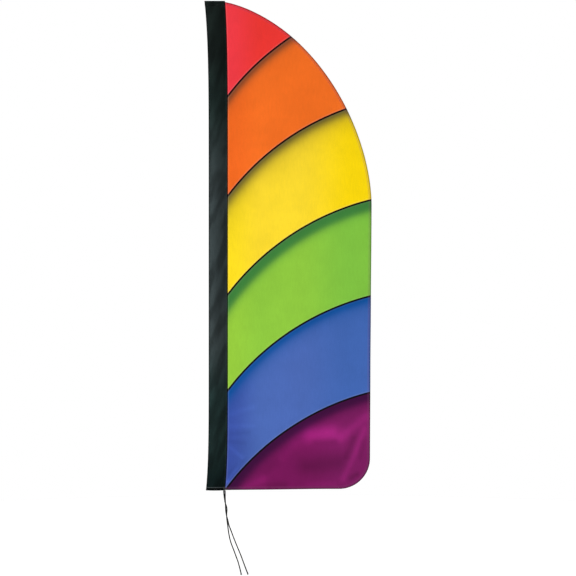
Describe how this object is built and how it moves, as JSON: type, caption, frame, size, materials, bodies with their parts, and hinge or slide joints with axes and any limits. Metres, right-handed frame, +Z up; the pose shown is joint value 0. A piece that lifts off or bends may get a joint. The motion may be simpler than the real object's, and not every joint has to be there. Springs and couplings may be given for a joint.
{
  "type": "feather flag with pole",
  "caption": "Feather flag: a tall printed cloth panel with a rounded head, sewn to a black pole sleeve over a sectional pole, with a doubled tie cord at its foot.",
  "frame": {"origin": "centre of the pole's foot, at the mouth of the bore for the stake's pin", "axes": "+Z up the pole, +X from the pole towards the flag's free edge, -Y towards the viewer"},
  "size_m": [0.7095, 0.026, 2.4406],
  "materials": {
    "printed_cloth": "printed woven polyester, semi-matt",
    "sleeve_cloth": "black woven polyester, matt",
    "webbing": "black webbing",
    "cord_braid": "black braided polyester",
    "pole_fibreglass": "drawn fibreglass, satin",
    "ferrule_metal": "turned aluminium, satin",
    "collar_plastic": "moulded, fine grain",
    "cap_rubber": "moulded, matt"
  },
  "bodies": {
    "lower_pole": {"foot_ferrule": "ferrule_metal", "lower_tube": "pole_fibreglass", "lower_joint_ferrule": "ferrule_metal"},
    "middle_pole": {"middle_tube": "pole_fibreglass", "middle_stop_collar": "collar_plastic", "middle_joint_ferrule": "ferrule_metal"},
    "top_pole": {"top_rod": "pole_fibreglass", "top_stop_collar": "collar_plastic"},
    "tip": {"tip_cap": "cap_rubber"},
    "flag": {"sleeve_top_patch": "webbing", "pole_sleeve": "sleeve_cloth", "flag_panel": "printed_cloth", "tie_cord_left_tail": "cord_braid", "tie_cord_right_tail": "cord_braid"}
  },
  "joints": [
    {"name": "middle_pull", "type": "slide", "parent": "lower_pole", "child": "middle_pole", "axis": [0, 0, 1], "range_m": [0, 0.1]},
    {"name": "top_pull", "type": "slide", "parent": "middle_pole", "child": "top_pole", "axis": [0, 0, 1], "range_m": [0, 0.1]},
    {"name": "flag_turn", "type": "hinge", "parent": "top_pole", "child": "tip", "pos_m": [0, 0, 2.01], "axis": [0, 0, 1], "continuous": true},
    {"name": "flag_lift", "type": "slide", "parent": "tip", "child": "flag", "axis": [0, 0, 1], "range_m": [0, 2.06]}
  ]
}
